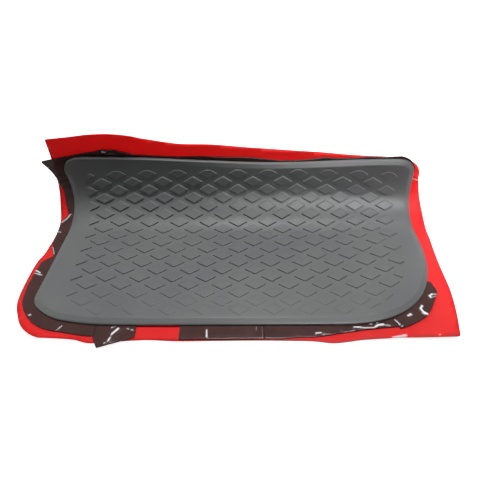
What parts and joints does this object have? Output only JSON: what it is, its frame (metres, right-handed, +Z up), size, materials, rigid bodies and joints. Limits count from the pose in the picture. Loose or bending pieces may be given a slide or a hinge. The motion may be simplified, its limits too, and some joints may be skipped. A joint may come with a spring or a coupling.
{
  "type": "rubber floor mat pad on backing film",
  "caption": "Dark rubber car floor mat pad with raised diamond studs, black adhesive strips round its rim and a red peel-off backing film, curled up at the back.",
  "frame": {"origin": "on the floor, under the middle of the whole stack's bounding box", "axes": "+X across the mat along its long front edge, to the right as seen from the front; +Y from the flat front edge towards the curled-up back; +Z up from the floor"},
  "size_m": [0.3306, 0.1492, 0.0812],
  "materials": {
    "rubber": "dark grey moulded rubber, satin",
    "film": "thin bright red release film, semi-gloss",
    "adhesive": "glossy brown-black adhesive tape"
  },
  "bodies": {
    "root": {"rubber_mat": "rubber", "backing_film": "film", "adhesive_left_back": "adhesive", "adhesive_left_middle": "adhesive", "adhesive_left_front": "adhesive", "adhesive_front_crumpled": "adhesive", "adhesive_front_left": "adhesive", "adhesive_front_right": "adhesive", "adhesive_right_corner": "adhesive", "adhesive_right_side": "adhesive", "adhesive_back": "adhesive"}
  },
  "joints": []
}
